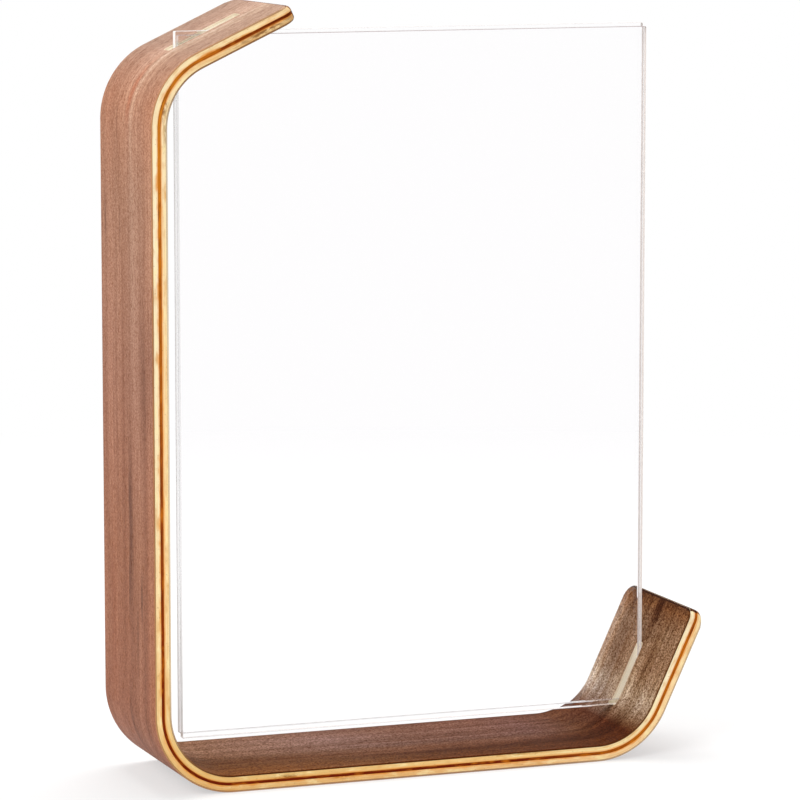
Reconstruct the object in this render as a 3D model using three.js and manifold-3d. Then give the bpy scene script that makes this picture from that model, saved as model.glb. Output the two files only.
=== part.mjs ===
// Floating picture frame: one bent-laminated walnut band holds two clear sheets by two of their corners.
// Millimetres, +Z up, front towards -Y. The origin is at the bottom centre of the whole frame.
import * as THREE from 'three';
import { mergeVertices } from 'three/addons/utils/BufferGeometryUtils.js';
import ManifoldModule from 'manifold-3d';

const wasm = await ManifoldModule();
wasm.setup();

// Clear sheets, for a 5 by 7 inch print
const sheetWidth = 127;
const sheetHeight = 178;
const sheetThickness = 2;
const printGap = 0.3;
const sheetPlay = 0.9;

// Layers of the bent band, from the outer face to the inner face
const veneerThickness = 0.4;
const corePlyThickness = 1.3;
const centrePlyThickness = 0.7;
const glueLine = 0.05;

// Course of the band
const bandDepth = 42.5;
const bendInnerRadius = 16.4;
const armTurn = THREE.MathUtils.degToRad(65);
const armLength = 27.2;
const tipCornerRadius = 3.4;
const noseOuterRadius = 1.7;
const noseInnerRadius = 1;
const noseSteps = 5;
const arcSteps = 14;

// Where the sheets hang in the band
const sideGap = 9;
const bottomGap = 6;
const cornerReach = 6.6;

// Slots through the two short arms
const slotSideClearance = 0.4;
const slotEndClearance = 0.5;
const slotCornerRadius = 0.6;

// Band layers as distances from the outer face
const layers = [
  { name: 'outer_walnut_veneer', thickness: veneerThickness, finish: 'veneer' },
  { name: 'outer_pale_core_ply', thickness: corePlyThickness, finish: 'core' },
  { name: 'dark_centre_ply', thickness: centrePlyThickness, finish: 'centre' },
  { name: 'inner_pale_core_ply', thickness: corePlyThickness, finish: 'core' },
  { name: 'inner_walnut_veneer', thickness: veneerThickness, finish: 'veneer' },
];
let laid = 0;
for (const layer of layers) {
  layer.from = laid;
  layer.to = laid + layer.thickness;
  laid = layer.to + glueLine;
}
const bandThickness = laid - glueLine;
const bendOuterRadius = bendInnerRadius + bandThickness;

// Sheet place: the outer face of the upright is x = 0 and the underside is z = 0
const sheetLeft = bandThickness + sideGap;
const sheetRight = sheetLeft + sheetWidth;
const sheetBottom = bandThickness + bottomGap;
const sheetTop = sheetBottom + sheetHeight;
const stackThickness = 2 * sheetThickness + printGap;

// Bend centres, set so that each arm is crossed by a sheet corner to the chosen depth
const turnSin = Math.sin(armTurn);
const turnCos = Math.cos(armTurn);
const crossing = bendInnerRadius + cornerReach;
const topBend = new THREE.Vector2(
  bendOuterRadius,
  sheetTop - (crossing + turnCos * (sheetLeft - bendOuterRadius)) / turnSin,
);
const cornerBend = new THREE.Vector2(bendOuterRadius, bendOuterRadius);
const rightBend = new THREE.Vector2(
  sheetRight - (crossing + turnCos * (sheetBottom - bendOuterRadius)) / turnSin,
  bendOuterRadius,
);

/** An arm frame: start of its straight run on the outer face, its direction and its outward normal. */
function armFrame(centre, direction, outward) {
  const start = centre.clone().addScaledVector(outward, bendOuterRadius);
  return { start, direction, outward };
}

const topArm = armFrame(
  topBend,
  new THREE.Vector2(turnSin, turnCos),
  new THREE.Vector2(-turnCos, turnSin),
);
const rightArm = armFrame(
  rightBend,
  new THREE.Vector2(turnCos, turnSin),
  new THREE.Vector2(turnSin, -turnCos),
);

/** The point of an arm at a run along it and a depth below its outer face. */
function armPoint(arm, run, depth) {
  return arm.start.clone().addScaledVector(arm.direction, run).addScaledVector(arm.outward, -depth);
}

// Depths at which the rounded noses of the tips are stepped
const noseDepths = [];
for (let step = 1; step <= noseSteps; step += 1) {
  const fall = 1 - Math.cos(step / noseSteps * Math.PI / 2);
  noseDepths.push(noseOuterRadius * fall, bandThickness - noseInnerRadius * fall);
}
noseDepths.sort((a, b) => a - b);

/** How far a tip draws in at a depth below the outer face, because its nose is rounded towards both faces. */
function noseDraw(depth) {
  const rounded = (below, radius) => radius - Math.sqrt(radius ** 2 - Math.max(radius - below, 0) ** 2);
  return Math.max(rounded(depth, noseOuterRadius), rounded(bandThickness - depth, noseInnerRadius));
}

/** Points of an arm's tip across one layer, from its outer side to its inner side. */
function tipPoints(arm, from, to) {
  const inside = noseDepths.filter((depth) => depth > from + glueLine && depth < to - glueLine);
  return [from, ...inside, to].map((depth) => armPoint(arm, armLength - noseDraw(depth), depth));
}

/** Side outline of one layer: tip, bend, upright, bend, foot, bend, tip, and back along its inner side. */
function layerShape(from, to) {
  const outer = bendOuterRadius - from;
  const inner = bendOuterRadius - to;
  const half = Math.PI / 2;
  const shape = new THREE.Shape(tipPoints(topArm, from, to).reverse());
  shape.absarc(topBend.x, topBend.y, outer, Math.PI - armTurn, Math.PI, false);
  shape.absarc(cornerBend.x, cornerBend.y, outer, Math.PI, Math.PI + half, false);
  shape.absarc(rightBend.x, rightBend.y, outer, -half, armTurn - half, false);
  for (const tip of tipPoints(rightArm, from, to)) {
    shape.lineTo(tip.x, tip.y);
  }
  shape.absarc(rightBend.x, rightBend.y, inner, armTurn - half, -half, true);
  shape.absarc(cornerBend.x, cornerBend.y, inner, Math.PI + half, Math.PI, true);
  shape.absarc(topBend.x, topBend.y, inner, Math.PI, Math.PI - armTurn, true);
  return shape;
}

/** A three.js geometry as a manifold solid. */
function toSolid(geometry) {
  const bare = geometry.clone();
  bare.deleteAttribute('normal');
  bare.deleteAttribute('uv');
  const welded = mergeVertices(bare, 1e-5);
  return new wasm.Manifold(new wasm.Mesh({
    numProp: 3,
    vertProperties: new Float32Array(welded.attributes.position.array),
    triVerts: new Uint32Array(welded.index.array),
  }));
}

/** A manifold solid as a three.js geometry. */
function toGeometry(solid) {
  const mesh = solid.getMesh();
  const geometry = new THREE.BufferGeometry();
  geometry.setAttribute('position', new THREE.BufferAttribute(mesh.vertProperties, 3));
  geometry.setIndex(new THREE.BufferAttribute(mesh.triVerts, 1));
  geometry.computeVertexNormals();
  return geometry;
}

/** A plan drawn along an arm and across its depth, extruded right through the arm's thickness. */
function throughArm(arm, plan) {
  const height = 6 * bandThickness;
  const geometry = new THREE.ExtrudeGeometry(plan, {
    depth: height,
    bevelEnabled: false,
    curveSegments: arcSteps / 2,
  });
  geometry.translate(0, 0, -height / 2);
  const along = new THREE.Vector3(arm.direction.x, 0, arm.direction.y);
  const across = new THREE.Vector3(0, 1, 0);
  const through = along.clone().cross(across);
  const place = new THREE.Matrix4().makeBasis(along, across, through);
  place.setPosition(arm.start.x, 0, arm.start.y);
  geometry.applyMatrix4(place);
  return toSolid(geometry);
}

/** Slot plan: a rectangle with eased corners, centred across the depth. */
function slotPlan(runFrom, runTo, width) {
  const r = slotCornerRadius;
  const half = width / 2;
  const plan = new THREE.Shape();
  plan.moveTo(runFrom + r, -half);
  plan.absarc(runTo - r, -half + r, r, -Math.PI / 2, 0, false);
  plan.absarc(runTo - r, half - r, r, 0, Math.PI / 2, false);
  plan.absarc(runFrom + r, half - r, r, Math.PI / 2, Math.PI, false);
  plan.absarc(runFrom + r, -half + r, r, Math.PI, 1.5 * Math.PI, false);
  return plan;
}

/** The waste outside one rounded tip corner, on the front (side -1) or the back (side 1). */
function tipWastePlan(side) {
  const r = tipCornerRadius;
  const run = armLength - r;
  const edge = bandDepth / 2 - r;
  const spare = 2 * r;
  const plan = new THREE.Shape();
  plan.moveTo(armLength, side * edge);
  plan.absarc(run, side * edge, r, 0, side * Math.PI / 2, side < 0);
  plan.lineTo(run, side * (edge + r + spare));
  plan.lineTo(armLength + spare, side * (edge + r + spare));
  plan.lineTo(armLength + spare, side * edge);
  return plan;
}

// Runs of the sheet corner along each arm: where its two edges cross the arm's inner face
const slotWidth = stackThickness + 2 * slotSideClearance;
const nearCross = cornerReach * turnCos / turnSin;
const farCross = cornerReach * turnSin / turnCos;
const playRun = sheetPlay / turnCos;
const topCorner = new THREE.Vector2(sheetLeft, sheetTop).sub(topArm.start).dot(topArm.direction);
const rightCorner = new THREE.Vector2(sheetRight, sheetBottom).sub(rightArm.start).dot(rightArm.direction);

// Both slots, the upper one with room for a sheet to slide up
const topSlot = throughArm(topArm, slotPlan(
  topCorner - nearCross - slotEndClearance,
  topCorner + farCross + slotEndClearance + playRun,
  slotWidth,
));
const rightSlot = throughArm(rightArm, slotPlan(
  rightCorner - nearCross - slotEndClearance,
  rightCorner + farCross + slotEndClearance,
  slotWidth,
));
const cuts = [topSlot, rightSlot];
for (const arm of [topArm, rightArm]) {
  for (const side of [-1, 1]) {
    cuts.push(throughArm(arm, tipWastePlan(side)));
  }
}

/** One layer of the band, bent, slotted and rounded at its tips. */
function layerGeometry(layer) {
  const geometry = new THREE.ExtrudeGeometry(layerShape(layer.from, layer.to), {
    depth: bandDepth,
    bevelEnabled: false,
    curveSegments: arcSteps / 2,
  });
  geometry.translate(0, 0, -bandDepth / 2);
  geometry.rotateX(Math.PI / 2);
  let solid = toSolid(geometry);
  for (const cut of cuts) {
    solid = solid.subtract(cut);
  }
  return toGeometry(solid);
}

const finishes = {
  veneer: { color: 0x9a6a4c, roughness: 0.55 },
  core: { color: 0xf0d4a0, roughness: 0.6 },
  centre: { color: 0x8a4a1c, roughness: 0.6 },
};

/** A mesh with a name and a material of its own. */
function piece(name, geometry, look) {
  const mesh = new THREE.Mesh(geometry, new THREE.MeshStandardMaterial({ metalness: 0, ...look }));
  mesh.name = name;
  return mesh;
}

const band = new THREE.Group();
band.name = 'bent_band';
for (const layer of layers) {
  band.add(piece(layer.name, layerGeometry(layer), finishes[layer.finish]));
}

// The rear sheet is shown slid up, as it hangs in the frame
const sheets = new THREE.Group();
sheets.name = 'clear_sheets';
for (const [name, side, lift] of [['front_clear_sheet', -1, 0], ['rear_clear_sheet', 1, sheetPlay]]) {
  const sheet = piece(
    name,
    new THREE.BoxGeometry(sheetWidth, sheetThickness, sheetHeight),
    { color: 0xf4f7f8, roughness: 0.05, transparent: true, opacity: 0.3 },
  );
  sheet.position.set(
    (sheetLeft + sheetRight) / 2,
    side * (printGap + sheetThickness) / 2,
    (sheetBottom + sheetTop) / 2 + lift,
  );
  sheets.add(sheet);
}

// The whole frame is centred across, with its foot on z = 0
const frame = new THREE.Group();
frame.name = 'floating_picture_frame';
frame.add(band, sheets);
const extent = new THREE.Box3().setFromObject(frame);
frame.position.x = -(extent.min.x + extent.max.x) / 2;

export default frame;
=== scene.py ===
"""Floating picture frame: a bent walnut band that holds two clear sheets by two of their corners.

Lengths in the size fields are in millimetres, and meshes are made in metres in the frame's own axes:
+Z up, +X from the upright towards the open side, the front towards -Y.
"""

import logging
import math
from dataclasses import dataclass, field
from enum import Enum

import bmesh
import bpy
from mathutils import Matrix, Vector


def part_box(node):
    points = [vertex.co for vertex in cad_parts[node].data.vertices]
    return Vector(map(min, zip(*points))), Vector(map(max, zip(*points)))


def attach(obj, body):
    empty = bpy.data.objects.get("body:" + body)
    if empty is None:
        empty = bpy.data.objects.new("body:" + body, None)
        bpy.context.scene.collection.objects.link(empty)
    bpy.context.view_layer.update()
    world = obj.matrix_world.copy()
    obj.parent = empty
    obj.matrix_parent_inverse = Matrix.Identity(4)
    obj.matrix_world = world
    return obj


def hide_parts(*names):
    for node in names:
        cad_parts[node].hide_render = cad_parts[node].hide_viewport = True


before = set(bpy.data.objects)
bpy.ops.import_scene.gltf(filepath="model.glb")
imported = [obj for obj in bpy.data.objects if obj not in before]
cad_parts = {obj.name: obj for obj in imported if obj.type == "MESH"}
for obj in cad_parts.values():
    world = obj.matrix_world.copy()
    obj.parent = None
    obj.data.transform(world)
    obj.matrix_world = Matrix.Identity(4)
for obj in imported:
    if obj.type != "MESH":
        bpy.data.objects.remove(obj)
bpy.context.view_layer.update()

MM = 0.001
SHARP_ANGLE = math.radians(12.0)
CUT_REACH = 1e-4
NOISE_MIDDLE = 0.5
ALONG = Vector((1.0, 0.0, 0.0))
ACROSS = Vector((0.0, 1.0, 0.0))
UP = Vector((0.0, 0.0, 1.0))
LOG = logging.getLogger("picture_frame")

Rgb = tuple[float, float, float]
Course = tuple[tuple[float, Rgb], ...]
Material = bpy.types.Material
Mesh = bmesh.types.BMesh
Socket = bpy.types.NodeSocket


class Mark(Enum):
    """Marks on the faces of a layer, as the names of their attributes."""

    EDGE = "cut_edge"
    END = "end_grain"
    # Slot walls, where painted light is laid.
    SLOT = "slot_wall_painted_light"


class Side(Enum):
    """Which faces of a layer of the band lie open to view."""

    OUTER = "outer"
    INNER = "inner"
    SEALED = "sealed"


class Facing(Enum):
    """Which way a face of a sheet looks."""

    THROUGH = "through"
    UPRIGHT_SIDE = "upright_side"
    OPEN_SIDE = "open_side"
    UP = "up"
    DOWN = "down"


def linear(red: int, green: int, blue: int) -> Rgb:
    """Turn an 8-bit screen colour into scene-linear values.

    Args:
        red: Red from 0 to 255.
        green: Green from 0 to 255.
        blue: Blue from 0 to 255.

    Returns:
        The colour as linear red, green and blue.
    """
    def channel(value: int) -> float:
        """Undo the screen curve for one channel."""
        share = value / 255
        return share / 12.92 if share <= 0.04045 else ((share + 0.055) / 1.055) ** 2.4

    return channel(red), channel(green), channel(blue)


# Pale cream laid on the slot walls of every layer, the dark ones too: painted light standing in for light
# that the sheets carry into the slots.
SLOT_WALL_PAINTED_LIGHT = linear(254, 240, 212)


class Wiring:
    """A short hand for adding and joining shader nodes in one tree."""

    # Where a Mix node keeps its colours among its inputs and outputs.
    MIX_INPUTS = (6, 7)
    MIX_OUTPUT = 2

    def __init__(self, tree: bpy.types.NodeTree) -> None:
        """Keep the tree that nodes are added to."""
        self.tree = tree

    def node(self, kind: str, **settings: object) -> bpy.types.Node:
        """Add a node.

        Args:
            kind: The node's type name.
            **settings: Properties to set on the node.

        Returns:
            The new node.
        """
        made = self.tree.nodes.new(kind)
        for key, value in settings.items():
            setattr(made, key, value)
        return made

    def join(self, source: Socket, target: Socket) -> None:
        """Link an output socket to an input socket."""
        self.tree.links.new(source, target)

    def feed(self, target: Socket, value: object) -> None:
        """Give an input either a link or a constant.

        Args:
            target: The input socket.
            value: An output socket, a number or a tuple.
        """
        if isinstance(value, Socket):
            self.join(value, target)
        else:
            target.default_value = value

    def math(self, operation: str, first: object, second: object = 0.0) -> Socket:
        """Add a math node.

        Args:
            operation: The math operation's name.
            first: A socket or number.
            second: A socket or number.

        Returns:
            The result's socket.
        """
        made = self.node("ShaderNodeMath", operation=operation)
        self.feed(made.inputs[0], first)
        self.feed(made.inputs[1], second)
        return made.outputs[0]

    def plus(self, first: object, second: object) -> Socket:
        """Add two values."""
        return self.math("ADD", first, second)

    def minus(self, first: object, second: object) -> Socket:
        """Take the second value from the first."""
        return self.math("SUBTRACT", first, second)

    def times(self, first: object, second: object) -> Socket:
        """Multiply two values."""
        return self.math("MULTIPLY", first, second)

    def between(self, share: Socket, low: float, high: float) -> Socket:
        """Go from one value to another as a share goes from 0 to 1."""
        return self.plus(low, self.times(share, high - low))

    def vector(self, x: object, y: object, z: object) -> Socket:
        """Join three values into a vector.

        Args:
            x: A socket or number.
            y: A socket or number.
            z: A socket or number.

        Returns:
            The vector's socket.
        """
        made = self.node("ShaderNodeCombineXYZ")
        for socket, value in zip(made.inputs, (x, y, z)):
            self.feed(socket, value)
        return made.outputs[0]

    def split(self, place: Socket) -> tuple[Socket, ...]:
        """Part a vector into its three lengths.

        Args:
            place: The vector's socket.

        Returns:
            The three lengths' sockets.
        """
        made = self.node("ShaderNodeSeparateXYZ")
        self.join(place, made.inputs[0])
        return tuple(made.outputs)

    def noise(self, at: Socket, octaves: float, rough: float, scale: float = 1.0) -> Socket:
        """Add a noise.

        Args:
            at: The place's socket.
            octaves: Number of finer noises laid over the first.
            rough: Share kept by each finer octave.
            scale: How much to scale the place by.

        Returns:
            The noise value's socket.
        """
        made = self.node("ShaderNodeTexNoise", noise_dimensions="3D")
        for name, value in (("Scale", scale), ("Detail", octaves), ("Roughness", rough)):
            made.inputs[name].default_value = value
        self.join(at, made.inputs["Vector"])
        return made.outputs["Fac"]

    def span(self, value: object, low: float, high: float, soft: bool = False) -> Socket:
        """Stretch the part of a value between two ends over 0 to 1.

        Args:
            value: A socket or number.
            low: The value that gives 0.
            high: The value that gives 1.
            soft: Whether the ends run out softly.

        Returns:
            The clamped result's socket.
        """
        kind = "SMOOTHSTEP" if soft else "LINEAR"
        made = self.node("ShaderNodeMapRange", clamp=True, interpolation_type=kind)
        self.feed(made.inputs["Value"], value)
        made.inputs["From Min"].default_value = low
        made.inputs["From Max"].default_value = high
        return made.outputs["Result"]

    def blend(self, share: object, first: object, second: object, mode: str = "MIX") -> Socket:
        """Mix two colours.

        Args:
            share: How much of the second colour to use.
            first: A colour socket or RGB values.
            second: A colour socket or RGB values.
            mode: The blend type's name.

        Returns:
            The mixed colour's socket.
        """
        made = self.node("ShaderNodeMix", data_type="RGBA", blend_type=mode)
        self.feed(made.inputs["Factor"], share)
        for index, value in zip(self.MIX_INPUTS, (first, second)):
            self.feed(made.inputs[index], value if isinstance(value, Socket) else (*value, 1.0))
        return made.outputs[self.MIX_OUTPUT]

    def tint(self, share: object, tone: Socket, tint: object) -> Socket:
        """Multiply a tone by a tint, as far as a share says."""
        return self.blend(share, tone, tint, "MULTIPLY")

    def ramp(self, value: Socket, stops: Course) -> Socket:
        """Read colours along a value.

        Args:
            value: The socket that says where along the ramp to read.
            stops: Places from 0 to 1 with their colours.

        Returns:
            The colour's socket.
        """
        made = self.node("ShaderNodeValToRGB")
        elements = made.color_ramp.elements
        while len(elements) < len(stops):
            elements.new(1.0)
        for element, (place, colour) in zip(elements, stops):
            element.position = place
            element.color = (*colour, 1.0)
        self.join(value, made.inputs["Fac"])
        return made.outputs["Color"]

    def shade(self, share: Socket, first: Socket, second: Socket) -> Socket:
        """Mix two shaders.

        Args:
            share: How much of the second shader to use.
            first: A shader's socket.
            second: A shader's socket.

        Returns:
            The mixed shader's socket.
        """
        made = self.node("ShaderNodeMixShader")
        for socket, value in zip(made.inputs, (share, first, second)):
            self.join(value, socket)
        return made.outputs["Shader"]

    def seen(self) -> Socket:
        """Tell what is looked at from what only gives light.

        Returns:
            Socket that is one for the camera, for gloss and through clear pieces.
        """
        path = self.node("ShaderNodeLightPath").outputs
        shown = self.math("MAXIMUM", path["Is Camera Ray"], path["Is Glossy Ray"])
        return self.math("MAXIMUM", shown, path["Is Transmission Ray"])


@dataclass(frozen=True)
class Pattern:
    """A noise of a figure.

    It says how often the noise repeats in a metre along, across and deep in the wood, its octaves, the part
    of it that counts, and how far it is shifted from the figure's other noises.
    """

    along: float
    across: float
    octaves: float
    low: float = 0.0
    high: float = 1.0
    deep: float = 0.0
    shift: float = 0.0


class Figure:
    """A figure that several finishes share, as a node group."""

    NAME = ""
    INPUTS: dict[str, str] = {"Place": "NodeSocketVector", "Seed": "NodeSocketFloat"}
    OUTPUTS: tuple[str, ...] = ()
    ROUGH = 0.6
    PATTERNS: tuple[Pattern, ...] = ()

    @classmethod
    def tree(cls) -> bpy.types.NodeTree:
        """Return the group, built on its first use."""
        return bpy.data.node_groups.get(cls.NAME) or cls._build()

    @classmethod
    def _build(cls) -> bpy.types.NodeTree:
        """Build the group.

        Returns:
            The new node group.
        """
        tree = bpy.data.node_groups.new(cls.NAME, "ShaderNodeTree")
        for name, kind in cls.INPUTS.items():
            tree.interface.new_socket(name, in_out="INPUT", socket_type=kind)
        for name in cls.OUTPUTS:
            tree.interface.new_socket(name, in_out="OUTPUT", socket_type="NodeSocketFloat")
        w = Wiring(tree)
        entry = w.node("NodeGroupInput")
        leave = w.node("NodeGroupOutput")
        for name, value in zip(cls.OUTPUTS, cls._draw(w, *entry.outputs[: len(cls.INPUTS)])):
            w.join(value, leave.inputs[name])
        return tree

    @classmethod
    def _draw(cls, w: Wiring, place: Socket, seed: object = 0.0) -> tuple[Socket, ...]:
        """Draw the figure.

        Args:
            w: The group's wiring.
            place: Socket for the place on the piece.
            seed: Socket or number that makes a piece's figure its own.

        Returns:
            The sockets of its values, in the order of its outputs.
        """
        x, y, z = w.split(place)
        drawn = []
        for pattern in cls.PATTERNS:
            along = w.plus(w.times(x, pattern.along), seed)
            spot = w.vector(along, w.times(y, pattern.across), w.times(z, pattern.deep))
            drawn.append(w.span(w.noise(spot, pattern.octaves, cls.ROUGH), pattern.low, pattern.high))
        return tuple(drawn)


class WalnutFigure(Figure):
    """Walnut: broad bands, fine lines, pores and fibres that run along the grain and sway a little."""

    NAME = "walnut_figure"
    OUTPUTS = ("Bands", "Lines", "Pores", "Fibres", "Sway", "Height")
    SWAY = Pattern(16.0, 26.0, 1.0)
    SWAY_ROUGH = 0.5
    SWAY_REACH = 3.2 * MM
    SLANT = 0.6
    ROUGH = 0.55
    LINE_RELIEF = 0.35
    PATTERNS = (
        Pattern(5.0, 130.0, 2.0, 0.32, 0.68),
        Pattern(11.0, 480.0, 3.0, 0.30, 0.70, shift=3.1),
        Pattern(420.0, 2100.0, 1.0, 0.57, 0.69, shift=7.7),
        Pattern(2100.0, 1750.0, 2.0, 0.31, 0.69, shift=11.3),
    )

    @classmethod
    def _draw(cls, w: Wiring, place: Socket, seed: object = 0.0) -> tuple[Socket, ...]:
        """Draw the figure.

        Args:
            w: The group's wiring.
            place: Socket for the lay of the grain.
            seed: Socket or number that makes a piece's figure its own.

        Returns:
            The sockets of its values, in the order of its outputs.
        """
        run, across, depth = w.split(place)
        bent = w.vector(w.times(run, cls.SWAY.along), w.times(across, cls.SWAY.across), seed)
        sway = w.noise(bent, cls.SWAY.octaves, cls.SWAY_ROUGH)
        drift = w.times(w.minus(sway, NOISE_MIDDLE), cls.SWAY_REACH)
        swayed = w.plus(w.plus(across, drift), w.times(depth, cls.SLANT))
        drawn = []
        for pattern in cls.PATTERNS:
            aside = w.times(swayed, pattern.across)
            spot = w.vector(w.times(run, pattern.along), aside, w.plus(seed, pattern.shift))
            drawn.append(w.span(w.noise(spot, pattern.octaves, cls.ROUGH), pattern.low, pattern.high))
        _, lines, pores, _ = drawn
        return *drawn, drift, w.minus(w.times(lines, cls.LINE_RELIEF), pores)


class PlyFigure(Figure):
    """A sanded ply: fibres, patches, dots and grime drawn out along the band."""

    NAME = "ply_figure"
    OUTPUTS = ("Fibre", "Patch", "Dots", "Grime")
    PATTERNS = (
        Pattern(60.0, 90.0, 3.0, deep=3200.0),
        Pattern(210.0, 110.0, 2.0, deep=650.0),
        Pattern(1500.0, 1500.0, 1.0, deep=2600.0),
        Pattern(560.0, 700.0, 2.0, 0.38, 0.58, deep=1500.0),
    )


class SawFigure(Figure):
    """The marks of a saw on an edge."""

    NAME = "saw_figure"
    INPUTS = {"Place": "NodeSocketVector"}
    OUTPUTS = ("Marks",)
    PATTERNS = (Pattern(900.0, 900.0, 2.0, 0.4, 0.8, deep=900.0),)


@dataclass(frozen=True)
class Streak:
    """One streak laid over a tone, for the figure, for scuffs and for painted highlights and shade: its
    middle and half its size in millimetres, and its tint.
    """

    run: float
    across: float
    half_length: float
    half_width: float
    tint: Rgb


class FinishWiring(Wiring):
    """The wiring of one material round its Principled shader."""

    def __init__(self, name: str) -> None:
        """Start a material.

        Args:
            name: The material's name.
        """
        self.material = bpy.data.materials.new(name)
        self.material.use_nodes = True
        super().__init__(self.material.node_tree)
        self.shader = self.tree.nodes["Principled BSDF"]

    def give(self, name: str, value: object) -> None:
        """Give one of the shader's inputs a link or a constant."""
        self.feed(self.shader.inputs[name], value)

    def show(self, shader: Socket) -> None:
        """Let a shader be the one that shows."""
        self.join(shader, self.tree.nodes["Material Output"].inputs["Surface"])

    def figure(self, figure: type[Figure], inputs: dict[str, object]) -> bpy.types.NodeOutputs:
        """Place a shared figure.

        Args:
            figure: The figure.
            inputs: Sockets or numbers for its inputs, by name.

        Returns:
            The sockets of its values, by name.
        """
        group = self.node("ShaderNodeGroup", node_tree=figure.tree())
        for name, value in inputs.items():
            self.feed(group.inputs[name], value)
        return group.outputs

    def lay(self) -> Socket:
        """Read the lay of the grain: along the band, across it and below its outer face."""
        return self.node("ShaderNodeAttribute", attribute_name=BandCourse.LAY).outputs["Vector"]

    def mask(self, mark: Mark) -> Socket:
        """Read one mark of the piece's faces as a mask."""
        return self.node("ShaderNodeAttribute", attribute_name=mark.value).outputs["Fac"]

    def place(self) -> Socket:
        """Read the piece's Object coordinates."""
        return self.node("ShaderNodeTexCoord").outputs["Object"]

    def bump(self, height: Socket, depth: float, strength: float) -> None:
        """Give the shader relief from a height.

        Args:
            height: The height's socket.
            depth: Relief in millimetres.
            strength: Share of the relief that shows.
        """
        bump = self.node("ShaderNodeBump")
        bump.inputs["Distance"].default_value = depth * MM
        bump.inputs["Strength"].default_value = strength
        self.join(height, bump.inputs["Height"])
        self.give("Normal", bump.outputs["Normal"])

    def streak(
        self,
        tone: Socket,
        place: tuple[Socket, Socket],
        broken: Socket,
        streaks: tuple[Streak, ...],
    ) -> Socket:
        """Draw streaks over a tone.

        Args:
            tone: The colour's socket.
            place: Sockets for the place along the band and across the face.
            broken: Socket for how much of a streak shows.
            streaks: The streaks.

        Returns:
            The streaked colour's socket.
        """
        for streak in streaks:
            masks = [
                self.span(self.math("ABSOLUTE", self.minus(value, middle * MM)), half * MM, 0.0, soft=True)
                for value, middle, half in zip(
                    place,
                    (streak.run, streak.across),
                    (streak.half_length, streak.half_width),
                )
            ]
            tone = self.tint(self.times(self.times(*masks), broken), tone, streak.tint)
        return tone


def spread(tones: tuple[Rgb, Rgb]) -> Course:
    """Spread two tones over a whole course."""
    return (0.0, tones[0]), (1.0, tones[1])


@dataclass(frozen=True)
class Wash:
    """How a value of a figure colours a tone: the part of it that counts, and how strongly."""

    low: float
    high: float
    share: float


@dataclass(frozen=True)
class WalnutFinish:
    """Oiled walnut veneer: straight grain along the band, with tones that drift along it and across it;
    those drifts carry painted light and shade as well as the wood's own tone.
    """

    name: str
    seed: float
    course: Course
    across: tuple[Course, Course]
    turnover: tuple[float, float]
    wander: float
    streaks: tuple[Streak, ...]
    edge_course: Course
    band_tones: tuple[Rgb, Rgb]
    fibre_tones: tuple[Rgb, Rgb]
    fibre_shares: tuple[float, float]
    grain: Rgb
    grain_share: float
    pore: Rgb
    pore_shares: tuple[float, float]
    end: Rgb
    # Painted light on the slot walls.
    slot_wall_painted_light: Rgb
    length: float
    depth: float
    roughness: float
    sheen: float
    streak_least: float = 0.6
    edge_lines: float = 0.3
    # How far that painted light covers the slot walls.
    slot_light_share: float = 0.9
    pore_dulling: float = 0.2
    relief: float = 0.04
    relief_share: float = 0.5

    def material(self) -> Material:
        """Build the veneer's material.

        Returns:
            The new material.
        """
        m = FinishWiring(self.name)
        lay = m.lay()
        run, across, _ = m.split(lay)
        figure = m.figure(WalnutFigure, {"Place": lay, "Seed": self.seed})
        lines, pores, sway = figure["Lines"], figure["Pores"], figure["Sway"]
        along = m.span(run, 0.0, self.length * MM)
        start, stop = self.turnover
        turn = m.span(run, start * MM, stop * MM, soft=True)
        ground = m.tint(1.0, m.ramp(along, self.course), self._across(m, across, sway, turn))
        banded = m.tint(1.0, ground, m.ramp(figure["Bands"], spread(self.band_tones)))
        broken = m.between(lines, self.streak_least, 1.0)
        streaked = m.streak(banded, (run, m.plus(across, sway)), broken, self.streaks)
        fibres = m.ramp(figure["Fibres"], spread(self.fibre_tones))
        haired = m.tint(m.between(turn, *self.fibre_shares), streaked, fibres)
        lined = m.tint(m.times(lines, self.grain_share), haired, self.grain)
        pored = m.tint(m.times(pores, m.between(turn, *self.pore_shares)), lined, self.pore)
        cut = m.blend(m.times(lines, self.edge_lines), m.ramp(along, self.edge_course), self.end)
        # On the slot walls the tone gives way to painted light.
        slot_lit = m.blend(m.times(m.mask(Mark.SLOT), self.slot_light_share), cut, self.slot_wall_painted_light)
        faced = m.blend(m.mask(Mark.EDGE), pored, slot_lit)
        m.give("Base Color", m.blend(m.mask(Mark.END), faced, self.end))
        m.give("Roughness", m.between(pores, self.roughness, self.roughness + self.pore_dulling))
        m.give("Specular IOR Level", self.sheen)
        m.bump(figure["Height"], self.relief, self.relief_share)
        return m.material

    def _across(self, m: FinishWiring, across: Socket, sway: Socket, turn: Socket) -> Socket:
        """Lay down the drift of the tone across the band.

        Args:
            m: The material's wiring.
            across: Socket for the place across the band.
            sway: Socket for how far the grain sways aside.
            turn: Socket for how far one stretch's tones have given way to the next one's.

        Returns:
            The tint's socket.
        """
        half = self.depth * MM / 2
        side = m.span(m.plus(across, m.times(sway, self.wander)), -half, half)
        near, far = (m.ramp(side, course) for course in self.across)
        return m.blend(turn, near, far)


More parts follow.
